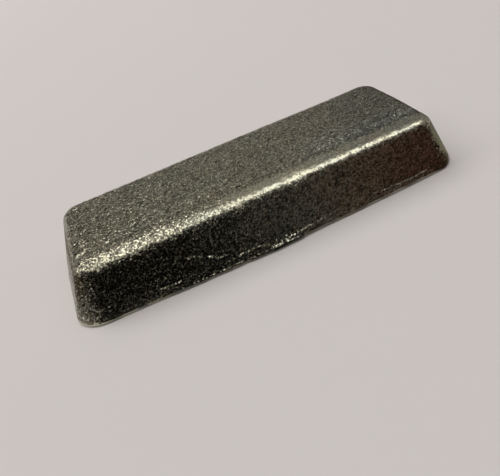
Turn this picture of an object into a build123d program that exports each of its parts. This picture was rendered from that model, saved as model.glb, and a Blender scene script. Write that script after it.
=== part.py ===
from build123d import *

import os
from math import radians, tan

# Cast pewter ingot: one short bar with a trapezoid section, as it drops out of an open iron mould.
# It lies on its wide pour face, so the narrow face that lay on the mould's floor is on top.
# Millimetres and degrees. X runs along the bar, Z is up, and the origin is the middle of the face it lies on.

# Pour face, at the height of the metal in the mould
LENGTH = 150.0
WIDTH = 58.0
POUR_CORNER_RADIUS = 8.5

# Taper that lets the bar drop out of the mould
HEIGHT = 20.0
END_DRAFT = 21.0
SIDE_DRAFT = 17.5

# The walls bow outwards between their corners, most where the hot mould has opened at the pour face
POUR_END_BOW = 1.0
POUR_SIDE_BOW = 1.8
TOP_END_BOW = 0.5
TOP_SIDE_BOW = 0.2

# Rounded edges: the mould's floor, and the skin of the metal where it met the walls
TOP_CORNER_RADIUS = 5.5
TOP_EDGE_RADIUS = 4.4
POUR_RIM_RADIUS = 0.8

# Shallow hollow where the last metal to set shrank away from the pour face
SHRINK_DEPTH = 0.6
SHRINK_LAND = 9.0


def plan_outline(length: float, width: float, end_bow: float, side_bow: float, corner_radius: float) -> Sketch:
    """Closed outline in plan: four walls that bow outwards by the given amounts, with rounded corners."""
    end_x, side_y = length / 2, width / 2
    corner_x, corner_y = end_x - end_bow, side_y - side_bow
    with BuildSketch() as outline:
        with BuildLine():
            ThreePointArc((-corner_x, -corner_y), (0, -side_y), (corner_x, -corner_y))
            ThreePointArc((corner_x, -corner_y), (end_x, 0), (corner_x, corner_y))
            ThreePointArc((corner_x, corner_y), (0, side_y), (-corner_x, corner_y))
            ThreePointArc((-corner_x, corner_y), (-end_x, 0), (-corner_x, -corner_y))
        make_face()
        fillet(outline.vertices(), corner_radius)
    return outline.sketch


def tapered_bar() -> Part:
    """Bar between the pour face's outline and the smaller one on top, with its edges rounded."""
    top_length = LENGTH - 2 * HEIGHT * tan(radians(END_DRAFT))
    top_width = WIDTH - 2 * HEIGHT * tan(radians(SIDE_DRAFT))
    pour_outline = plan_outline(LENGTH, WIDTH, POUR_END_BOW, POUR_SIDE_BOW, POUR_CORNER_RADIUS)
    top_outline = plan_outline(top_length, top_width, TOP_END_BOW, TOP_SIDE_BOW, TOP_CORNER_RADIUS)
    bar = loft([pour_outline, Pos(0, 0, HEIGHT) * top_outline], ruled=True)
    bar = fillet(bar.faces().sort_by(Axis.Z)[-1].edges(), TOP_EDGE_RADIUS)
    return fillet(bar.faces().sort_by(Axis.Z)[0].edges(), POUR_RIM_RADIUS)


def shrink_hollow() -> Part:
    """Lens-shaped hollow in the pour face: a round cap as wide as the land leaves, stretched along the bar."""
    half_length, half_width = LENGTH / 2 - SHRINK_LAND, WIDTH / 2 - SHRINK_LAND
    with BuildSketch(Plane.XZ) as half_section:
        with BuildLine():
            rim, crown, middle = (half_width, 0), (0, SHRINK_DEPTH), (0, 0)
            RadiusArc(rim, crown, -(half_width**2 + SHRINK_DEPTH**2) / (2 * SHRINK_DEPTH))
            Polyline(crown, middle, rim)
        make_face()
    cap = revolve(half_section.sketch, Axis.Z)
    return scale(cap, (half_length / half_width, 1, 1))


ingot = tapered_bar() - shrink_hollow()

os.makedirs("parts", exist_ok=True)
export_step(ingot, "parts/ingot.step")
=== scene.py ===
"""Looks of a cast pewter ingot: the skin that its mould left on it, its metal, and a plain pale studio.

Metres and radians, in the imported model's frame: X along the bar, Z up, the origin in the middle of the
pour face.
"""
import itertools
import logging
from dataclasses import dataclass, field
from enum import Enum
from math import cos, pi, radians, sin, tan

import bpy
import numpy as np
from mathutils import Matrix, Vector


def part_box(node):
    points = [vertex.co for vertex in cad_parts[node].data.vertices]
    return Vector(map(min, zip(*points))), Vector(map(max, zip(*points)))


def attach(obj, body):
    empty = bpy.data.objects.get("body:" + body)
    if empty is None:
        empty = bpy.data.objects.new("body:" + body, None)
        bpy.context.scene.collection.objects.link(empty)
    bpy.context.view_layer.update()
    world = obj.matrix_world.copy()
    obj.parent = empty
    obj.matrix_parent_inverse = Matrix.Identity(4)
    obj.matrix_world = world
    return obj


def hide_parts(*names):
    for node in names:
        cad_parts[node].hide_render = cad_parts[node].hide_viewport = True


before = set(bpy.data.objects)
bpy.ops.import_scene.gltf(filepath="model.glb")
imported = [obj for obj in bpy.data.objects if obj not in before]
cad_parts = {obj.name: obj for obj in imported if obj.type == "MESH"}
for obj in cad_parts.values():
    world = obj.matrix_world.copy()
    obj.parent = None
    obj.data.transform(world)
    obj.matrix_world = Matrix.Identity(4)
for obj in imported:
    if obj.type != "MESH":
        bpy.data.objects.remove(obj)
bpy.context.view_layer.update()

CAD_NODE = "ingot"
SKIN = "ingot_skin"
BODY = "root"
PHOTO_WIDTH = 500
TINY = 1e-12

# Values that the meshes carry for their materials
# Share of the dark colour: tarnish and painted shade in the grain's hollows, painted shade in the nicks
TARNISH_AND_SHADE = "hollows"
CALM = "calm"
LEAN = "lean"
COOL = "cool"
TURN = "turn"

# Inputs of a matte surface's shader
MATTE = {"Roughness": 1.0, "Specular IOR Level": 0.0}

Array = np.ndarray
Socket = bpy.types.NodeSocket
Value = Socket | float | tuple[float, ...]
Pair = tuple[float, float]
Triple = tuple[float, float, float]
Colour = tuple[float, float, float, float]
Stops = tuple[tuple[float, Colour], ...]
Curve = tuple[Pair, ...]
Row = tuple[Array, Array]
log = logging.getLogger("ingot")


def smoothstep(low: float, high: float, value: Array) -> Array:
    """Goes smoothly from 0 at low to 1 at high, by 3t^2 - 2t^3 of the share t of the way between them."""
    share = np.clip((value - low) / (high - low), 0, 1)
    return share * share * (3 - 2 * share)


def blend(first: Array, second: Array, share: Array) -> Array:
    """Mix of two values, with that share of the second."""
    return first + (second - first) * share


def along(curve: Curve, place: Array) -> Array:
    """Value of a curve of straight pieces at a place."""
    return np.interp(place, *np.array(curve).T)


def numbered(first: int, rows: int, columns: int) -> Array:
    """Point numbers from the first one on, in rows and columns."""
    return first + np.arange(rows * columns).reshape(rows, columns)


def grid_faces(numbers: Array) -> Array:
    """Four-sided faces of a grid of point numbers, facing up where rows run along X and columns along Y."""
    corners = numbers[:-1, :-1], numbers[1:, :-1], numbers[1:, 1:], numbers[:-1, 1:]
    return np.stack(corners, -1).reshape(-1, 4)


def give(mesh: bpy.types.Mesh, name: str, values: Array) -> None:
    """Gives each point of a mesh a value for its material."""
    mesh.attributes.new(name, "FLOAT", "POINT").data.foreach_set("value", values.astype(np.float32))


def place_in_scene(name: str, data: bpy.types.ID) -> bpy.types.Object:
    """Makes an object of a mesh, a lamp or a camera and puts it in the scene.

    Args:
        name: name of the object.
        data: what it shows.

    Returns:
        The object, at the origin.
    """
    item = bpy.data.objects.new(name, data)
    bpy.context.scene.collection.objects.link(item)
    return item


class Wall(Enum):
    """The two kinds of wall that the mould has."""

    END = "end"
    SIDE = "side"


@dataclass(frozen=True)
class WallForm:
    """Form of one pair of facing walls: their draft from the upright, and how far their middles bow out."""

    draft: float
    pour_bow: float
    top_bow: float


@dataclass(frozen=True)
class Stations:
    """Where points lie round or across an outline, as shares from -1 to 1 that fit every outline.

    Along each axis there is a place between the corners' centres and a place within a corner.
    """

    core_x: Array
    corner_x: Array
    core_y: Array
    corner_y: Array


@dataclass(frozen=True)
class MouldForm:
    """Form that the mould gives the bar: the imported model's box, with the mould's angles and radii."""

    end: WallForm = WallForm(draft=radians(21.0), pour_bow=0.0010, top_bow=0.0005)
    side: WallForm = WallForm(draft=radians(17.5), pour_bow=0.0018, top_bow=0.0002)
    pour_corner: float = 0.0085
    top_corner: float = 0.0055
    edge_radius: float = 0.0044
    rim_radius: float = 0.0008
    shrink_depth: float = 0.0006
    shrink_land: float = 0.0090

    def wall(self, kind: Wall) -> WallForm:
        """Form of that kind of wall."""
        return self.end if kind is Wall.END else self.side

    @property
    def height(self) -> float:
        """Height of the bar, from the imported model's box."""
        low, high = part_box(CAD_NODE)
        return high.z - low.z

    def sharp_reach(self, kind: Wall) -> float:
        """From the middle to the wall's sharp edge at the pour face, which the rounded rim has taken off.

        The rim of radius r takes off r * ((1 + sin d) * tan d + cos d - 1), where d is the draft.

        Args:
            kind: which walls.

        Returns:
            Distance in metres.
        """
        low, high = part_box(CAD_NODE)
        span = high.x - low.x if kind is Wall.END else high.y - low.y
        d = self.wall(kind).draft
        return span / 2 + self.rim_radius * ((1 + sin(d)) * tan(d) + cos(d) - 1)

    def reach(self, kind: Wall, height: Array) -> Array:
        """From the middle to the drafted wall at a height."""
        return self.sharp_reach(kind) - height * tan(self.wall(kind).draft)

    def bow(self, kind: Wall, height: Array) -> Array:
        """Bow of the wall at a height, in proportion between the pour face's and the top's."""
        return blend(self.wall(kind).pour_bow, self.wall(kind).top_bow, height / self.height)

    def corner(self, height: Array) -> Array:
        """Corner radius of the sharp outline at a height."""
        return blend(self.pour_corner, self.top_corner, height / self.height)

    def arc_row(self, kind: Wall, touch: float, radius: float, last: float, share: Array) -> Row:
        """Reach and height round an arc that runs on from the wall.

        The arc's normal turns from the draft d to the last angle. At angle t the reach is the wall's at the
        touch plus R * (cos t - cos d), and the height is the touch's plus R * (sin t - sin d).

        Args:
            kind: which walls.
            touch: height where the arc touches the wall.
            radius: radius of the arc.
            last: angle of the normal at its other end, from the level.
            share: 0 at the wall, 1 at the other end.

        Returns:
            Reach and height.
        """
        draft = self.wall(kind).draft
        angle = blend(draft, last, share)
        reach = self.reach(kind, touch) + radius * (np.cos(angle) - cos(draft))
        return reach, touch + radius * (np.sin(angle) - sin(draft))

    def profile(self, kind: Wall, edge: Array, wall: Array, rim: Array) -> Row:
        """Reach and height from the top to the pour face: round the edge, down the wall and round the rim.

        Args:
            kind: which walls.
            edge: shares of the way from the wall to the top.
            wall: shares of the way down the wall.
            rim: shares of the way from the wall to the pour face.

        Returns:
            Reach and height.
        """
        lean = sin(self.wall(kind).draft)
        upper = self.height - self.edge_radius * (1 - lean)
        lower = self.rim_radius * (1 + lean)
        height = blend(upper, lower, wall)
        top_edge = self.arc_row(kind, upper, self.edge_radius, pi / 2, edge)
        pour_rim = self.arc_row(kind, lower, self.rim_radius, -pi / 2, rim)
        parts = top_edge, (self.reach(kind, height), height), pour_rim
        reaches, heights = (np.concatenate(values) for values in zip(*parts))
        return reaches, heights

    def points(self, end_row: Row, side_row: Row, at: Stations) -> Array:
        """Points of plan outlines at the given stations.

        The corner radius is the sharp outline's, less what an arc has pulled the wall in. Shares p and q of
        a square corner turn into p * sqrt(1 - q^2 / 2) and q * sqrt(1 - p^2 / 2) of a round one. The walls
        then pull in by their bow times the square of the way to the corner. The height goes from the end's
        to the side's with the square of the sine of the turn.

        Args:
            end_row: reach and height along the ends, one for each outline.
            side_row: the same along the sides.
            at: stations, in arrays that go with a column of outlines.

        Returns:
            Points, with X, Y and Z along the last axis.
        """
        reach_x, height_x, reach_y, height_y = (values[:, None] for values in (*end_row, *side_row))
        corner = self.corner(height_y) - (self.reach(Wall.SIDE, height_y) - reach_y)
        round_x = at.corner_x * np.sqrt(1 - at.corner_y**2 / 2)
        round_y = at.corner_y * np.sqrt(1 - at.corner_x**2 / 2)
        x = at.core_x * (reach_x - corner) + corner * round_x
        y = at.core_y * (reach_y - corner) + corner * round_y
        bowed_x = x * (1 - self.bow(Wall.END, height_x) / reach_x * (y / reach_y) ** 2)
        bowed_y = y * (1 - self.bow(Wall.SIDE, height_y) / reach_y * (x / reach_x) ** 2)
        turn = round_y**2 / np.maximum(round_x**2 + round_y**2, TINY)
        z = blend(height_x, height_y, turn)
        return np.stack(np.broadcast_arrays(bowed_x, bowed_y, z), axis=-1)

    def behind_front(self, points: Array) -> Array:
        """How far points lie behind the bowed front wall, carried on to their own height."""
        x, y, z = points.T
        return y + self.reach(Wall.SIDE, z) - self.bow(Wall.SIDE, z) * (x / self.reach(Wall.END, z)) ** 2

    def outside_wider_edge(self, points: Array, stretch: Array) -> Array:
        """How far the front edge stands out of a wider one, whose arc is stretched away from the wall.

        With a the radius less the depth below the top, b the radius less the depth behind the wall divided
        by the stretch, and s the sine of the draft, the way from the arc's centre is
        sqrt((a^2 + b^2 - 2abs) / (1 - s^2)). The radius is taken off it. It only counts between the lines
        from that centre square to the top and to the wall.

        Args:
            points: rows of X, Y and Z.
            stretch: stretch at each point, 1 for the plain edge.

        Returns:
            Distances, 0 away from the front edge.
        """
        draft = self.side.draft
        a = self.edge_radius - (self.height - points[:, 2])
        b = self.edge_radius - self.behind_front(points) * cos(draft) / stretch
        way = np.sqrt(np.maximum(a * a + b * b - 2 * a * b * sin(draft), 0)) / cos(draft)
        between = (a > b * sin(draft)) & (b > a * sin(draft))
        return np.where(between, np.maximum(way - self.edge_radius, 0), 0)

    def shrink(self, x: Array, y: Array) -> Array:
        """Depth of the hollow in the pour face: a cap that falls off with the square of the way to its edge.

        Args:
            x: places along the bar.
            y: places across it.

        Returns:
            Depths, 0 on the land round the hollow.
        """
        half_x = self.sharp_reach(Wall.END) - self.shrink_land
        half_y = self.sharp_reach(Wall.SIDE) - self.shrink_land
        return self.shrink_depth * np.clip(1 - (x / half_x) ** 2 - (y / half_y) ** 2, 0, None)


@dataclass(frozen=True)
class Surface:
    """Points of the skin, with the plain form and its outward normals there."""

    points: Array
    normals: Array
    form: MouldForm

    @property
    def x(self) -> Array:
        """Places along the bar."""
        return self.points[:, 0]

    @property
    def z(self) -> Array:
        """Heights above the pour face."""
        return self.points[:, 2]

    @property
    def behind(self) -> Array:
        """Distances behind the front wall."""
        return self.form.behind_front(self.points)

    @property
    def front(self) -> Array:
        """How far the skin faces the front, from -1 to 1."""
        return -self.normals[:, 1]

    @property
    def up(self) -> Array:
        """How far it faces up, from -1 to 1."""
        return self.normals[:, 2]


class LatticeNoise:
    """Smooth noise from seeded random values on a lattice of cubes, which repeats after SIZE cubes."""

    SIZE = 48

    def __init__(self, seed: int) -> None:
        """Draws the lattice's values.

        Args:
            seed: any whole number.
        """
        draws = np.random.default_rng(seed)
        self.values = draws.uniform(-1, 1, (self.SIZE,) * 3)
        self.places = draws.uniform(0, 1, (self.SIZE,) * 3 + (3,))

    def at(self, points: Array, cell: float | Triple) -> Array:
        """Noise at the points: the eight values round each, mixed by 6t^5 - 15t^4 + 10t^3 along each axis.

        Args:
            points: rows of X, Y and Z.
            cell: size of a cube, or of a box along each axis.

        Returns:
            Noise from -1 to 1, one for each point.
        """
        scaled = points / np.asarray(cell)
        base = np.floor(scaled).astype(int)
        share = scaled - base
        fade = share**3 * (share * (share * 6 - 15) + 10)
        total = np.zeros(len(points))
        for corner in itertools.product((0, 1), repeat=3):
            weight = np.prod(np.where(np.array(corner) == 1, fade, 1 - fade), axis=1)
            i, j, k = ((base + corner) % self.SIZE).T
            total += weight * self.values[i, j, k]
        return total

    def pits(self, points: Array, cell: float, share: float, radius: float) -> Array:
        """Round pits, one to a cube in some of the cubes: (1 - (d / radius)^2)^2 at the distance d.

        Args:
            points: rows of X, Y and Z.
            cell: size of a cube.
            share: share of the cubes that hold a pit.
            radius: radius of a pit.

        Returns:
            Depth from 0 to 1 for each point, the deepest where pits meet.
        """
        base = np.floor(points / cell).astype(int)
        deepest = np.zeros(len(points))
        for step in itertools.product((-1, 0, 1), repeat=3):
            cube = base + step
            i, j, k = (cube % self.SIZE).T
            centre = (cube + self.places[i, j, k]) * cell
            near = np.sum((points - centre) ** 2, axis=1) / radius**2
            depth = np.clip(1 - near, 0, None) ** 2 * (self.values[i, j, k] > 1 - 2 * share)
            deepest = np.maximum(deepest, depth)
        return deepest


@dataclass(frozen=True)
class LapLine:
    """Line on the front wall where one wash of metal froze against the last, by place and height."""

    path: Curve
    step: float
    lip: float = 0.0003
    reach: float = 0.0014
    taper: float = 0.0020

    def relief(self, at: Surface) -> Array:
        """How far the later wash stands out below the line.

        It is the step times a rise over half the lip's width above and below the line, which dies out
        downwards and towards both ends of the line.

        Args:
            at: the skin.

        Returns:
            Relief in metres, one for each point.
        """
        start, end = self.path[0][0], self.path[-1][0]
        below = along(self.path, at.x) - at.z
        ends = smoothstep(start - self.taper, start, at.x) * smoothstep(end + self.taper, end, at.x)
        rise = smoothstep(-self.lip / 2, self.lip / 2, below) * np.exp(-np.clip(below, 0, None) / self.reach)
        return self.step * ends * rise


@dataclass(frozen=True)
class Nick:
    """Small nick in the upper side, darkened with painted shade, turned in plan from X, by half its length
    and half its width.
    """

    middle: Pair
    turn: float
    length: float
    width: float
    depth: float

    def share(self, at: Surface) -> Array:
        """Share of the nick's depth: a bell with the squares of the ways along and across it, on top only.

        Args:
            at: the skin.

        Returns:
            Shares from 0 to 1, one for each point.
        """
        x, y = (at.points[:, :2] - self.middle).T
        length = (x * cos(self.turn) + y * sin(self.turn)) / self.length
        width = (y * cos(self.turn) - x * sin(self.turn)) / self.width
        return np.exp(-(length**2) - width**2) * (at.up > 0)


class Layer(Enum):
    """Layers of the relief that have a noise of their own, with what each one adds to the seed."""

    GRAIN = 0
    COARSE_GRAIN = 1
    WAVES = 2
    FLOW = 3
    PITS = 4
    BEADS = 5
    RIM = 6


@dataclass(frozen=True)
class CastRelief:
    """Relief of the cast skin: waves, grain, pits, flow lines, laps, streaks, beads and a swollen rim.

    A pair is the range over which a share goes from 0 to 1. Names in up, front and out are ranges of the
    normals' parts, names in along are ranges of places along the bar, and names in rise of heights.
    """

    seed: int = 7

    # Slow waves and grain
    wave_height: float = 0.00010
    wave_cell: float = 0.016
    grain_height: float = 0.00011
    grain_cell: float = 0.00046
    coarse_grain_cell: float = 0.0019
    coarse_grain_share: float = 0.10
    grain_near_end: float = 1.15
    grain_far_end: float = 0.70
    # Grain range over which the hollows take the dark colour of tarnish and painted shade
    hollow_grain: Pair = (0.15, -0.45)

    # Smooth skin
    calming: float = 0.65
    calm_along: Pair = (-0.040, 0.012)
    calm_band: Pair = (0.0072, 0.0052)
    calm_up: Pair = (0.70, 0.84)
    calm_corner: float = 0.7
    corner_out: Pair = (0.35, 0.55)
    corner_front: Pair = (0.15, 0.35)
    calm_rim: Pair = (0.0011, 0.0005)
    lip_along: Pair = (-0.050, -0.064)
    lip_height: float = 0.0009

    # Lean of the facets
    lean_top: float = 0.42
    lean_edge: float = 0.65
    lean_crease: float = 0.35
    lean_near_wall: float = 1.45
    lean_far_wall: float = 0.60
    lean_calm: float = 0.40
    lean_along: Pair = (-0.035, 0.045)
    edge_front: Pair = (0.05, 0.30)
    crease_up: Pair = (0.88, 0.78)
    steep_up: Pair = (0.62, 0.42)

    # Walls
    wall_up: Pair = (0.75, 0.45)
    flow_height: float = 0.000045
    flow_cell: Triple = (0.014, 0.014, 0.0009)
    flow_rise: Pair = (0.0055, 0.00275)
    pit_depth: float = 0.00016
    pit_radius: float = 0.00055
    pit_cell: float = 0.0022
    pit_share: float = 0.10
    rim_ripple: float = 0.00016
    rim_rise: Pair = (0.0030, 0.0012)
    rim_waver: float = 0.0004
    rim_cell: float = 0.0052

    # Front wall
    wall_front: Pair = (0.55, 0.85)
    swell_height: float = 0.00045
    swell_middle: float = -0.003
    swell_length: float = 0.024
    swell_rise: Pair = (0.0040, 0.0015)
    laps: tuple[LapLine, ...] = (
        LapLine(((-0.0466, 0.0069), (-0.0420, 0.0067)), step=0.00034),
        LapLine(((-0.0448, 0.0042), (-0.0395, 0.0037)), step=0.00036),
        LapLine(((-0.0385, 0.0034), (-0.0345, 0.0047)), step=0.00036),
        LapLine(((-0.0314, 0.0100), (-0.0276, 0.0083), (-0.0240, 0.0066), (-0.0215, 0.0055)), step=0.00052),
        LapLine(((-0.0170, 0.0037), (-0.0120, 0.0039), (-0.0076, 0.0038), (-0.0044, 0.0020)), step=0.00040),
        LapLine(((-0.0420, 0.0014), (-0.0300, 0.0013), (-0.0160, 0.0015)), step=0.00030),
        LapLine(((-0.0120, 0.0012), (-0.0050, 0.0015), (0.0020, 0.0016), (0.0065, 0.0013)), step=0.00060),
        LapLine(((-0.0030, 0.0016), (0.0060, 0.0027), (0.0150, 0.0035), (0.0240, 0.0041), (0.0380, 0.0037)),
                step=0.00040),
        LapLine(((0.0410, 0.0033), (0.0490, 0.0029), (0.0590, 0.0030)), step=0.00055),
    )

    # Top and its edges
    streak_height: float = 0.00019
    streak_width: float = 0.60
    streak_lean: float = 1.6
    streak_cell: Triple = (0.0130, 0.0024, 0.0130)
    streak_start: Pair = (0.0050, 0.0085)
    streak_end: Pair = (0.0270, 0.0085)
    streak_along: Pair = (0.002, 0.040)
    streak_up: Pair = (0.80, 0.95)
    bead_height: float = 0.00009
    bead_cell: float = 0.0017
    bead_up: Pair = (0.3, 0.6)
    bead_end_up: Pair = (0.995, 0.96)
    edge_stretch: Curve = (
        (-0.045, 1.9), (-0.030, 1.6), (-0.014, 1.1), (-0.004, 1.0), (0.006, 1.0), (0.009, 1.4),
        (0.0125, 1.4), (0.0155, 1.0))
    nicks: tuple[Nick, ...] = (
        Nick(middle=(-0.0642, -0.0139), turn=radians(20.0), length=0.0015, width=0.00055, depth=0.0007),
    )

    # Pour face
    pour_up: Pair = (-0.1, -0.6)
    pour_share: float = 0.5
    pour_calming: float = 0.7

    def noise(self, layer: Layer, at: Surface, cell: float | Triple) -> Array:
        """Noise of one layer at the points, from -1 to 1."""
        return LatticeNoise(self.seed + layer.value).at(at.points, cell)

    def calm(self, at: Surface) -> Array:
        """Share of smooth skin: a band on top along the front edge, the corner at its far end, and the rim.

        Args:
            at: the skin.

        Returns:
            Shares from 0 to 1.
        """
        away = smoothstep(*self.calm_along, at.x)
        band = smoothstep(*self.calm_band, at.behind) * smoothstep(*self.calm_up, at.up)
        corner = smoothstep(*self.corner_out, at.normals[:, 0]) * smoothstep(*self.corner_front, at.front)
        lip = self.lip_height * smoothstep(*self.lip_along, at.x)
        waver = self.rim_waver * self.noise(Layer.RIM, at, self.rim_cell)
        rim = smoothstep(*self.calm_rim, at.z + waver - lip)
        return np.max([band * away, corner * self.calm_corner * away, rim], axis=0)

    def streaked(self, at: Surface) -> Array:
        """Share of the band on top, behind the front edge's far half, where the metal ran in streaks."""
        band = smoothstep(*self.streak_start, at.behind) * smoothstep(*self.streak_end, at.behind)
        return band * smoothstep(*self.streak_along, at.x) * smoothstep(*self.streak_up, at.up)

    def streaks(self, at: Surface) -> Array:
        """Ridges along the streaked band: 1 where a stretched noise is 0, and less on both sides of it."""
        noise = self.noise(Layer.FLOW, at, self.streak_cell)
        return self.streaked(at) * np.clip(1 - np.abs(noise) / self.streak_width, 0, None)

    def grain(self, at: Surface, calm: Array) -> Array:
        """Grain of the cast skin: two sizes of noise, stronger towards the near end, and little where calm.

        Args:
            at: the skin.
            calm: share of smooth skin at each point.

        Returns:
            Grain from about -1 in the hollows to 1 on the tops, one for each point.
        """
        fine = self.noise(Layer.GRAIN, at, self.grain_cell)
        coarse = self.noise(Layer.COARSE_GRAIN, at, self.coarse_grain_cell)
        far = smoothstep(at.x.min(), at.x.max(), at.x)
        strength = blend(self.grain_near_end, self.grain_far_end, far)
        return blend(fine, coarse, self.coarse_grain_share) * strength * (1 - self.calming * calm)

    def hollows(self, at: Surface, grain: Array, calm: Array) -> Array:
        """Share of the dark colour: tarnish and painted shade in the grain's hollows, painted shade in the
        nicks.
        """
        tarnish_and_shade = smoothstep(*self.hollow_grain, grain) * (1 - calm)
        # The nicks get the dark colour as painted shade
        return np.max([tarnish_and_shade, *(nick.share(at) for nick in self.nicks)], axis=0)

    def lean(self, at: Surface, calm: Array) -> Array:
        """How far the facets lean.

        It is little on the flat top, more in its streaks and at its front edge, little again round that
        edge, and most on the near half of the front wall. Calm skin has a lean of its own.

        Args:
            at: the skin.
            calm: share of smooth skin at each point.

        Returns:
            Factors for the facets' slope.
        """
        edge = smoothstep(*self.edge_front, at.front)
        crease = smoothstep(*self.crease_up, at.up) * edge
        flat = blend(blend(self.lean_top, self.lean_edge, edge), self.lean_crease, crease)
        flat = flat * (1 + self.streak_lean * self.streaks(at))
        near_front = (1 - smoothstep(*self.lean_along, at.x)) * edge
        steep = blend(self.lean_far_wall, self.lean_near_wall, near_front)
        return blend(blend(flat, steep, smoothstep(*self.steep_up, at.up)), self.lean_calm, calm)

    def on_walls(self, at: Surface) -> Array:
        """Relief of the walls: flow lines and a ripple low down, pits, and the front's laps and swell.

        The swell is a bell along the bar, exp(-t^2) at t lengths from its middle.

        Args:
            at: the plain skin.

        Returns:
            Relief in metres, one for each point.
        """
        flow = self.flow_height * self.noise(Layer.FLOW, at, self.flow_cell)
        ripple = self.rim_ripple * self.noise(Layer.RIM, at, self.rim_cell)
        low = flow * smoothstep(*self.flow_rise, at.z) + ripple * smoothstep(*self.rim_rise, at.z)
        scatter = LatticeNoise(self.seed + Layer.PITS.value)
        pits = self.pit_depth * scatter.pits(at.points, self.pit_cell, self.pit_share, self.pit_radius)
        bell = np.exp(-(((at.x - self.swell_middle) / self.swell_length) ** 2))
        swell = self.swell_height * bell * smoothstep(*self.swell_rise, at.z)
        laps = sum(lap.relief(at) for lap in self.laps)
        wall = smoothstep(*self.wall_up, np.abs(at.up)) * (low - pits)
        return wall + smoothstep(*self.wall_front, at.front) * (laps + swell)

    def on_top(self, at: Surface) -> Array:
        """Relief of the top: beads on its edges and streaks, less the wider front edge's cut and the nicks.

        Args:
            at: the plain skin.

        Returns:
            Relief in metres, one for each point.
        """
        edge = smoothstep(*self.bead_up, at.up) * smoothstep(*self.bead_end_up, at.up)
        beads = self.bead_height * self.noise(Layer.BEADS, at, self.bead_cell)
        wider = at.form.outside_wider_edge(at.points, along(self.edge_stretch, at.x))
        nicks = sum(nick.depth * nick.share(at) for nick in self.nicks)
        return edge * beads + self.streak_height * self.streaks(at) - wider - nicks

    def outward(self, at: Surface, grain: Array) -> Array:
        """Relief along the normals: slow waves, the grain, and the relief of the walls and of the top.

        On the pour face the relief is weaker and only goes inwards, so that the bar still lies flat.

        Args:
            at: the plain skin.
            grain: grain at the points.

        Returns:
            Relief in metres, one for each point.
        """
        waves = self.wave_height * self.noise(Layer.WAVES, at, self.wave_cell)
        relief = waves + self.grain_height * grain + self.on_walls(at) + self.on_top(at)
        down = smoothstep(*self.pour_up, at.up)
        return np.where(down > self.pour_share, -np.abs(relief), relief) * (1 - self.pour_calming * down)


class NodeKit:
    """Short ways to add nodes to the tree of a material or of the world."""

    def __init__(self, tree: bpy.types.NodeTree) -> None:
        """Keeps the tree to add to."""
        self.tree = tree

    def fill(self, socket: Socket, value: Value) -> None:
        """Links a value to an input, or sets it there where it is a constant.

        Args:
            socket: the input.
            value: another node's output, a number or a colour.
        """
        if isinstance(value, Socket):
            self.tree.links.new(value, socket)
        else:
            socket.default_value = value

    def add(self, kind: str, inputs: dict[str | int, Value], **settings: str) -> bpy.types.ShaderNode:
        """Adds a node.

        Args:
            kind: Blender's name for its type, without the first words.
            inputs: what goes to its inputs, by their names or numbers.
            settings: its own settings.

        Returns:
            The node.
        """
        node = self.tree.nodes.new("ShaderNode" + kind)
        for name, setting in settings.items():
            setattr(node, name, setting)
        for key, value in inputs.items():
            self.fill(node.inputs[key], value)
        return node

    def attribute(self, name: str) -> Socket:
        """Value that the mesh carries under that name."""
        return self.add("Attribute", {}, attribute_name=name).outputs["Fac"]

    def maths(self, operation: str, first: Value, second: Value) -> Socket:
        """Result of Blender's operation of that name on two numbers."""
        return self.add("Math", {0: first, 1: second}, operation=operation).outputs["Value"]

    def vector(self, operation: str, first: Value, second: Value) -> Socket:
        """Result of Blender's operation of that name on two vectors."""
        node = self.add("VectorMath", {0: first, 1: second}, operation=operation)
        return node.outputs["Value" if operation == "DOT_PRODUCT" else "Vector"]

    def ranged(self, value: Socket, old: Pair, new: Pair) -> Socket:
        """Maps a value from the old range to the new one and holds it there."""
        ends = {"From Min": old[0], "From Max": old[1], "To Min": new[0], "To Max": new[1]}
        return self.add("MapRange", {"Value": value, **ends}).outputs["Result"]

    def ramp(self, value: Socket, stops: Stops) -> Socket:
        """Colour by value.

        Args:
            value: value to look up.
            stops: places from 0 to 1 and their colours, in order.

        Returns:
            The colour.
        """
        node = self.add("ValToRGB", {"Fac": value})
        elements = node.color_ramp.elements
        while len(elements) < len(stops):
            elements.new(0.5)
        for element, (place, colour) in zip(elements, stops):
            element.position = place
            element.color = colour
        return node.outputs["Color"]


class MaterialKit(NodeKit):
    """The same for a new material, with ways to add patterns and to fill its shader."""

    def __init__(self, name: str) -> None:
        """Makes the material.

        Args:
            name: name of the material.
        """
        self.material = bpy.data.materials.new(name)
        self.material.use_nodes = True
        super().__init__(self.material.node_tree)

    def place(self) -> Socket:
        """Place on the object, in its own coordinates."""
        return self.add("TexCoord", {}).outputs["Object"]

    def noise(self, scale: float, detail: float) -> Socket:
        """Noise of that many cells in a metre and finer layers, mostly between 0.3 and 0.7."""
        inputs = {"Vector": self.place(), "Scale": scale, "Detail": detail}
        return self.add("TexNoise", inputs).outputs["Fac"]

    def facets(self, scale: float) -> tuple[Socket, Socket]:
        """Crystal facets: cells round scattered points, each a plane that leans its own way.

        A facet's height is the dot product of the way from its point with its own random slope, from -0.5 to
        0.5 along each axis.

        Args:
            scale: cells in a metre.

        Returns:
            The height in metres, and a random value from 0 to 1 for each facet.
        """
        place = self.place()
        cells = self.add("TexVoronoi", {"Vector": place, "Scale": scale}).outputs
        way = self.vector("SUBTRACT", place, cells["Position"])
        slope = self.vector("SUBTRACT", cells["Color"], (0.5, 0.5, 0.5))
        shade = self.add("SeparateColor", {"Color": cells["Color"]}).outputs["Blue"]
        return self.vector("DOT_PRODUCT", way, slope), shade

    def mixed(self, share: Socket, first: Socket, second: Colour) -> Socket:
        """Mix of two colours, with that share of the second; colours have sockets 6 and 7, and output 2."""
        return self.add("Mix", {0: share, 6: first, 7: second}, data_type="RGBA").outputs[2]

    def wire(self, inputs: dict[str, Value]) -> None:
        """Fills the inputs of the material's shader that have those names."""
        for name, value in inputs.items():
            self.fill(self.tree.nodes["Principled BSDF"].inputs[name], value)


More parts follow.
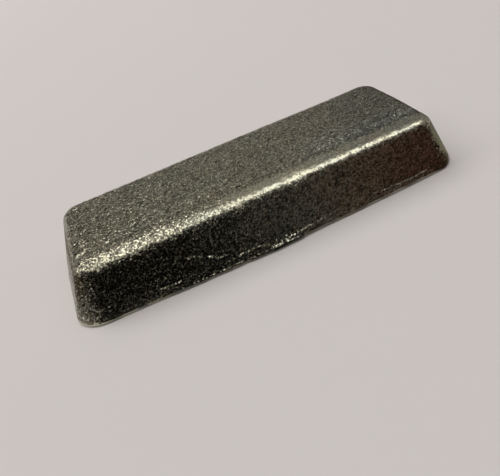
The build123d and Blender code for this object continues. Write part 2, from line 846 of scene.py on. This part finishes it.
@dataclass(frozen=True)
class PewterFinish:
    """Cast pewter: warm grey metal with a grained skin, bright on the grain's tops and dark in its hollows
    with tarnish and painted shade.

    It drifts to a cooler grey in places and is silver in the streaks. Scales are cells in a metre.
    """

    name: str = "cast_pewter"
    warm: Colour = (0.61, 0.583, 0.448, 1)
    cool: Colour = (0.583, 0.588, 0.47, 1)
    silver: Colour = (0.562, 0.582, 0.508, 1)
    # Dark colour: tarnish and painted shade in hollows and nicks, and random dull facets
    dull: Colour = (0.070, 0.066, 0.054, 1)
    cool_stop: float = 0.5
    tint_scale: float = 70.0
    tint_detail: float = 1.0
    tint_noise: Pair = (0.35, 0.65)
    facet_scale: float = 2100.0
    facet_lean: float = 0.60
    dull_facets: Pair = (0.35, 1.0)
    wear_scale: float = 420.0
    wear_detail: float = 4.0
    wear_noise: Pair = (0.3, 0.7)
    roughness: Pair = (0.12, 0.22)

    def colour(self, kit: MaterialKit, shade: Socket) -> Socket:
        """Colour of the metal: a slow drift from warm to cool grey, darkened by tarnish and painted shade in
        hollows and nicks, and dulled on some facets at random.

        Args:
            kit: kit of the material.
            shade: a random value for each facet.

        Returns:
            The colour.
        """
        tint = kit.noise(self.tint_scale, self.tint_detail)
        drift = kit.ranged(tint, self.tint_noise, (0.0, self.cool_stop))
        stops = (0.0, self.warm), (self.cool_stop, self.cool), (1.0, self.silver)
        clean = kit.ramp(kit.maths("MAXIMUM", drift, kit.attribute(COOL)), stops)
        rough_skin = kit.maths("SUBTRACT", 1.0, kit.attribute(CALM))
        facets = kit.maths("MULTIPLY", kit.ranged(shade, self.dull_facets, (0.0, 1.0)), rough_skin)
        # Mixes in the dark colour: tarnish and painted shade in hollows and nicks, and the random dull
        # facets
        return kit.mixed(kit.maths("MAXIMUM", kit.attribute(TARNISH_AND_SHADE), facets), clean, self.dull)

    def material(self) -> bpy.types.Material:
        """Builds the metal's material, whose facets lean by the mesh's own value.

        Returns:
            The material.
        """
        kit = MaterialKit(self.name)
        height, shade = kit.facets(self.facet_scale)
        leaning = kit.maths("MULTIPLY", height, kit.attribute(LEAN))
        bump = kit.add("Bump", {"Distance": self.facet_lean, "Height": leaning})
        wear = kit.noise(self.wear_scale, self.wear_detail)
        kit.wire({
            "Base Color": self.colour(kit, shade),
            "Metallic": 1.0,
            "Roughness": kit.ranged(wear, self.wear_noise, self.roughness),
            "Normal": bump.outputs["Normal"],
        })
        return kit.material


@dataclass
class Ingot:
    """The bar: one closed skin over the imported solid, of a grid above, rings and a grid below."""

    form: MouldForm = field(default_factory=MouldForm)
    relief: CastRelief = field(default_factory=CastRelief)
    finish: PewterFinish = field(default_factory=PewterFinish)
    core_cells_x: int = 288
    core_cells_y: int = 84
    corner_cells: int = 14
    edge_rows: int = 14
    wall_rows: int = 40
    wall_crowding: float = 0.35
    rim_rows: int = 5
    pour_inset: float = 0.0010

    @property
    def cells_x(self) -> int:
        """Cells along the top."""
        return self.core_cells_x + 2 * self.corner_cells

    @property
    def cells_y(self) -> int:
        """Cells across the top."""
        return self.core_cells_y + 2 * self.corner_cells

    def line(self, core_cells: int) -> Row:
        """Stations along one axis: a corner, the core and the other corner.

        Args:
            core_cells: cells between the corners.

        Returns:
            Shares along the core and within the corners.
        """
        corner = np.linspace(0, 1, self.corner_cells + 1)[1:]
        core = np.linspace(-1, 1, core_cells + 1)
        return (np.concatenate([-np.ones_like(corner), core, np.ones_like(corner)]),
                np.concatenate([-corner[::-1], np.zeros_like(core), corner]))

    def stations(self, lines_x: Array, lines_y: Array) -> Stations:
        """Stations on the lines of those numbers along X and along Y."""
        core_x, corner_x = (shares[lines_x] for shares in self.line(self.core_cells_x))
        core_y, corner_y = (shares[lines_y] for shares in self.line(self.core_cells_y))
        return Stations(core_x, corner_x, core_y, corner_y)

    def grid(self, step: int) -> Stations:
        """Stations of a grid across the bar, with every step-th line."""
        lines_x, lines_y = np.arange(0, self.cells_x + 1, step), np.arange(0, self.cells_y + 1, step)
        return self.stations(lines_x[:, None], lines_y[None])

    def loop(self, cells_x: int, cells_y: int) -> Row:
        """Line numbers round a grid's border, turning left as seen from above, from the near front corner.

        Args:
            cells_x: cells of the grid along X.
            cells_y: cells of the grid along Y.

        Returns:
            Numbers of the lines along X and along Y.
        """
        x, y = np.arange(cells_x), np.arange(cells_y)
        i = np.concatenate([x, np.full(cells_y, cells_x), cells_x - x, np.zeros(cells_y, int)])
        j = np.concatenate([np.zeros(cells_x, int), y, np.full(cells_x, cells_y), cells_y - y])
        return i, j

    def profiles(self) -> list[Row]:
        """Profiles of the end walls and of the side walls, with rows crowded towards the pour face.

        Returns:
            Reach and height of each row, from the top's border to the pour face's border.
        """
        edge = np.linspace(1, 0, self.edge_rows + 1)
        even = np.linspace(0, 1, self.wall_rows + 1)[1:]
        wall = even + self.wall_crowding * even * (1 - even)
        rim = np.linspace(0, 1, self.rim_rows + 1)[1:]
        return [self.form.profile(kind, edge, wall, rim) for kind in Wall]

    def points(self) -> Array:
        """Points of the plain form.

        Returns:
            Rows of X, Y and Z: the top's grid, the rings, and the pour face's grid of every second line.
        """
        profiles = self.profiles()
        top_rows = ((reach[:1], height[:1]) for reach, height in profiles)
        ring_rows = ((reach[1:], height[1:]) for reach, height in profiles)
        pour_rows = ((reach[-1:] - self.pour_inset, height[-1:]) for reach, height in profiles)
        top = self.form.points(*top_rows, self.grid(1))
        rings = self.form.points(*ring_rows, self.stations(*self.loop(self.cells_x, self.cells_y)))
        pour = self.form.points(*pour_rows, self.grid(2))
        pour[..., 2] += self.form.shrink(pour[..., 0], pour[..., 1])
        return np.concatenate([group.reshape(-1, 3) for group in (top, rings, pour)])

    def faces(self) -> list[list[int]]:
        """Faces of the skin: top, rings, five-sided faces that halve the last ring's points, and pour face.

        Returns:
            Lists of point numbers, all facing outwards.
        """
        half_x, half_y = self.cells_x // 2, self.cells_y // 2
        top = numbered(0, self.cells_x + 1, self.cells_y + 1)
        ring_count = self.edge_rows + self.wall_rows + self.rim_rows
        rings = numbered(top.size, ring_count, 2 * (self.cells_x + self.cells_y))
        pour = numbered(top.size + rings.size, half_x + 1, half_y + 1)

        belts = np.concatenate([top[self.loop(self.cells_x, self.cells_y)][None], rings])
        belts = np.concatenate([belts, belts[:, :1]], axis=1)
        walls = np.roll(grid_faces(belts), -1, axis=1)
        border, last = pour[self.loop(half_x, half_y)], rings[-1]
        corners = border, np.roll(border, -1), np.roll(last, -2)[::2], np.roll(last, -1)[::2], last[::2]
        below = grid_faces(pour)[:, ::-1]
        groups = grid_faces(top), walls, np.stack(corners, -1), below
        return [face for group in groups for face in group.tolist()]

    def build(self) -> bpy.types.Object:
        """Makes the skin: the plain form first, then the relief along its normals.

        Returns:
            The piece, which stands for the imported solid.
        """
        mesh = bpy.data.meshes.new(SKIN)
        points = self.points()
        mesh.from_pydata(points.tolist(), [], self.faces())
        mesh.shade_smooth()
        normals = np.empty(points.size, np.float32)
        mesh.vertex_normals.foreach_get("vector", normals)
        plain = Surface(points, normals.reshape(-1, 3).astype(float), self.form)
        calm = self.relief.calm(plain)
        grain = self.relief.grain(plain, calm)
        points = plain.points + plain.normals * self.relief.outward(plain, grain)[:, None]
        points[:, 2] = np.clip(points[:, 2], 0, None)
        mesh.vertices.foreach_set("co", points.astype(np.float32).ravel())
        mesh.update()
        cast = Surface(points, plain.normals, self.form)
        # Share of the dark colour: tarnish and painted shade in the grain's hollows, painted shade in the
        # nicks
        give(mesh, TARNISH_AND_SHADE, self.relief.hollows(cast, grain, calm))
        give(mesh, CALM, calm)
        give(mesh, LEAN, self.relief.lean(cast, calm))
        give(mesh, COOL, self.relief.streaked(cast))
        piece = place_in_scene(SKIN, mesh)
        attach(piece, BODY)
        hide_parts(CAD_NODE)
        return piece

    def dress(self, piece: bpy.types.Object) -> None:
        """Gives the skin its metal."""
        piece.data.materials.append(self.finish.material())


@dataclass(frozen=True)
class PaperFinish:
    """Matte sheet of paint or card in a plain colour."""

    name: str
    colour: Colour

    def material(self) -> bpy.types.Material:
        """Builds the matte material.

        Returns:
            The material.
        """
        kit = MaterialKit(self.name)
        kit.wire({"Base Color": self.colour, **MATTE})
        return kit.material


@dataclass(frozen=True)
class ScoopFinish:
    """Matte card whose tone goes with the turn round the bar in degrees.

    It is pale beside the back of the near end and the front of the far end, black before the near half of
    the front wall, and grey and then brown before the far half.
    """

    name: str = "dark_scoop"
    tones: Stops = (
        (120.0, (0.420, 0.405, 0.370, 1)),
        (158.0, (0.300, 0.280, 0.235, 1)),
        (176.0, (0.130, 0.105, 0.070, 1)),
        (192.0, (0.070, 0.048, 0.030, 1)),
        (215.0, (0.024, 0.018, 0.013, 1)),
        (235.0, (0.003, 0.003, 0.003, 1)),
        (269.2, (0.003, 0.003, 0.003, 1)),
        (270.4, (0.110, 0.112, 0.118, 1)),
        (272.0, (0.135, 0.110, 0.100, 1)),
        (275.0, (0.130, 0.094, 0.074, 1)),
        (278.0, (0.120, 0.076, 0.060, 1)),
        (282.0, (0.096, 0.048, 0.040, 1)),
        (296.0, (0.096, 0.044, 0.034, 1)),
        (341.0, (0.040, 0.024, 0.017, 1)),
        (347.0, (0.330, 0.305, 0.240, 1)),
        (356.0, (0.330, 0.315, 0.255, 1)),
        (364.0, (0.110, 0.105, 0.085, 1)),
        (440.0, (0.090, 0.086, 0.075, 1)),
    )

    def material(self) -> bpy.types.Material:
        """Builds the card's material, whose colour goes along the turn that the mesh carries.

        Returns:
            The material.
        """
        kit = MaterialKit(self.name)
        first, last = self.tones[0][0], self.tones[-1][0]
        share = kit.ranged(kit.attribute(TURN), (first, last), (0.0, 1.0))
        stops = tuple(((turn - first) / (last - first), tone) for turn, tone in self.tones)
        kit.wire({"Base Color": kit.ramp(share, stops), **MATTE})
        return kit.material


@dataclass(frozen=True)
class Cove:
    """Pale table top that curves up into a low wall all round, with a pinhole under the bar."""

    pinhole: float = 0.001
    flat_radius: float = 2.0
    bend_radius: float = 0.5
    wall_height: float = 0.62
    cells_around: int = 96
    cells_bend: int = 16

    def points(self) -> Array:
        """Grid of points: a flat disc, a quarter circle and a wall, turned about the upright axis.

        Returns:
            Points by turn and by place along the profile.
        """
        bend = np.linspace(0, pi / 2, self.cells_bend + 1)
        curve = self.flat_radius + self.bend_radius * np.sin(bend)
        reach = np.concatenate([[self.pinhole], curve, [self.flat_radius + self.bend_radius]])
        height = np.concatenate([[0], self.bend_radius * (1 - np.cos(bend)), [self.wall_height]])
        turn = np.linspace(0, 2 * pi, self.cells_around + 1)[:, None]
        return np.stack(np.broadcast_arrays(reach * np.cos(turn), reach * np.sin(turn), height), -1)


@dataclass(frozen=True)
class Scoop:
    """Card bent round the front and both ends of the bar, low beside it and higher further out.

    Its edges have a half length and a half width. By turns round the bar in degrees, the heights are the
    outer edge's, and the gaps are how much further out the inner edge lies. A squareness of 1 gives an
    ellipse.
    """

    inner: Pair = (0.0785, 0.0297)
    outer: Pair = (0.260, 0.190)
    squareness: float = 0.35
    heights: Curve = (
        (120.0, 0.010), (178.0, 0.015), (205.0, 0.060), (232.0, 0.180), (249.0, 0.200), (256.0, 0.290),
        (266.0, 0.290), (274.0, 0.240), (282.0, 0.240), (288.0, 0.190), (300.0, 0.175), (335.0, 0.145),
        (350.0, 0.015), (362.0, 0.012), (385.0, 0.060), (440.0, 0.060))
    gaps: Curve = ((120.0, 0.005), (226.0, 0.005), (240.0, 0.0), (440.0, 0.0))
    lift: float = 0.0004
    cells_turn: int = 320
    cells_out: int = 12

    def turns(self) -> Array:
        """Turns of the grid's rows, in degrees."""
        return np.linspace(self.heights[0][0], self.heights[-1][0], self.cells_turn + 1)

    def points(self) -> Array:
        """Grid of points from the inner to the outer loop.

        A loop is the half sizes times the cosine and the sine, each raised to the squareness with its sign
        kept. The height goes with the way out, squared.

        Returns:
            Points by turn and by way out.
        """
        turn = self.turns()[:, None]
        out = np.linspace(0, 1, self.cells_out + 1)
        sides = np.cos(np.radians(turn)), np.sin(np.radians(turn))
        round_x, round_y = (np.sign(v) * np.abs(v) ** self.squareness for v in sides)
        gap = along(self.gaps, turn)
        x, y = (blend(low + gap, high, out) for low, high in zip(self.inner, self.outer))
        height = self.lift + along(self.heights, turn) * out**2
        return np.stack(np.broadcast_arrays(x * round_x, y * round_y, height), -1)


class LampShape(Enum):
    """Outlines of a lamp, with the share of its length times its width that each one fills."""

    RECTANGLE = 1.0
    ELLIPSE = pi / 4


@dataclass(frozen=True)
class Lamp:
    """Soft lamp that hangs level and shines straight down, equally bright all over."""

    name: str
    shape: LampShape
    middle: Pair
    length: float
    width: float
    radiance: float
    height: float = 3.0
    colour: Triple = (1.0, 0.98, 0.95)

    def build(self) -> None:
        """Hangs the lamp, whose power is its radiance times pi times its area."""
        data = bpy.data.lights.new(self.name, "AREA")
        data.shape = self.shape.name
        data.size = self.length
        data.size_y = self.width
        data.energy = self.radiance * pi * self.shape.value * self.length * self.width
        data.color = self.colour
        place_in_scene(self.name, data).location = (*self.middle, self.height)


@dataclass(frozen=True)
class Studio:
    """Plain pale table, two soft lamps overhead, a dim room, and a card that the walls of the bar mirror."""

    table: PaperFinish = PaperFinish("pale_table", (0.785, 0.75, 0.755, 1))
    cove: Cove = field(default_factory=Cove)
    scoop: Scoop = field(default_factory=Scoop)
    scoop_finish: ScoopFinish = field(default_factory=ScoopFinish)
    lamps: tuple[Lamp, ...] = (
        Lamp("far_lamp", LampShape.ELLIPSE, middle=(1.15, 0.0), length=2.80, width=1.50, radiance=1.38),
        Lamp("near_lamp", LampShape.RECTANGLE, middle=(-3.24, 1.60), length=6.42, width=2.60, radiance=2.12),
    )
    sky: Stops = (
        (0.00, (0.040, 0.038, 0.033, 1)),
        (0.45, (0.170, 0.163, 0.145, 1)),
        (0.65, (0.330, 0.315, 0.280, 1)),
        (0.90, (0.800, 0.780, 0.720, 1)),
    )
    sky_sides: Stops = (
        (0.00, (0.70, 0.70, 0.70, 1)),
        (0.10, (0.83, 0.83, 0.83, 1)),
        (0.20, (0.91, 0.91, 0.91, 1)),
        (0.27, (0.83, 0.83, 0.84, 1)),
        (0.34, (0.61, 0.61, 0.66, 1)),
        (0.46, (0.51, 0.515, 0.60, 1)),
        (0.58, (0.39, 0.39, 0.43, 1)),
        (0.76, (1.00, 1.00, 0.90, 1)),
    )
    sky_lean: float = 0.25

    def sheet(self, name: str, points: Array, material: bpy.types.Material) -> bpy.types.Object:
        """Sheet over a grid of points, which isn't part of the bar.

        Args:
            name: name of the sheet.
            points: its points, in rows and columns.
            material: its material.

        Returns:
            The sheet.
        """
        mesh = bpy.data.meshes.new(name)
        faces = grid_faces(numbered(0, *points.shape[:2]))
        mesh.from_pydata(points.reshape(-1, 3).tolist(), [], faces.tolist())
        mesh.shade_smooth()
        mesh.materials.append(material)
        sheet = place_in_scene(name, mesh)
        return sheet

    def build_scoop(self) -> None:
        """Sets the card round the front of the bar, where only reflections see it."""
        points = self.scoop.points()
        card = self.sheet("dark_scoop", points, self.scoop_finish.material())
        give(card.data, TURN, np.repeat(self.scoop.turns(), points.shape[1]))
        card.visible_camera = False
        card.visible_diffuse = False
        card.visible_shadow = False

    def build_sky(self) -> None:
        """Sets the room: its colour by height, times a factor by X that grows towards the back."""
        world = bpy.data.worlds.new("dim_room")
        world.use_nodes = True
        kit = NodeKit(world.node_tree)
        direction = kit.add("TexCoord", {}).outputs["Generated"]
        part = kit.add("SeparateXYZ", {"Vector": direction}).outputs
        lean = kit.maths("MULTIPLY", part["Y"], self.sky_lean)
        factor = kit.vector("ADD", kit.ramp(part["X"], self.sky_sides), lean)
        light = kit.vector("MULTIPLY", kit.ramp(part["Z"], self.sky), factor)
        kit.fill(world.node_tree.nodes["Background"].inputs["Color"], light)
        bpy.context.scene.world = world

    def build(self) -> None:
        """Builds the table, the card, the lamps and the room."""
        self.sheet("pale_table", self.cove.points(), self.table.material())
        self.build_scoop()
        for lamp in self.lamps:
            lamp.build()
        self.build_sky()


@dataclass(frozen=True)
class Viewpoint:
    """Camera that sees the bar as the photograph does, aimed at a point on the table.

    The azimuth is 0 when it looks along +Y, the elevation is above the horizon, and the focal length is in
    pixels of the photograph.
    """

    target: Triple = (-0.00855, -0.01673, 0.0)
    azimuth: float = radians(-11.47)
    elevation: float = radians(37.51)
    roll: float = radians(17.32)
    distance: float = 0.18875
    focal_pixels: float = 520.0
    near_clip: float = 0.01

    def build(self) -> None:
        """Makes the camera and gives it to the scene."""
        data = bpy.data.cameras.new("camera")
        data.lens = data.sensor_width * self.focal_pixels / PHOTO_WIDTH
        data.clip_start = self.near_clip
        level = Vector((cos(self.azimuth), sin(self.azimuth), 0))
        flat = cos(self.elevation)
        back = Vector((sin(self.azimuth) * flat, -cos(self.azimuth) * flat, sin(self.elevation)))
        right = level * cos(self.roll) - back.cross(level) * sin(self.roll)
        turn = Matrix((right, back.cross(right), back)).transposed()
        camera = place_in_scene("camera", data)
        camera.matrix_world = Matrix.Translation(Vector(self.target) + back * self.distance) @ turn.to_4x4()
        bpy.context.scene.camera = camera


def main() -> None:
    """Builds the bar, the studio and the camera."""
    logging.basicConfig(level=logging.INFO, format="%(name)s: %(message)s")
    bpy.context.scene.view_settings.view_transform = "Standard"
    ingot = Ingot()
    skin = ingot.build()
    ingot.dress(skin)
    log.info("%s has %d points and %d faces", skin.name, len(skin.data.vertices), len(skin.data.polygons))
    Studio().build()
    Viewpoint().build()


if __name__ == "__main__":
    main()
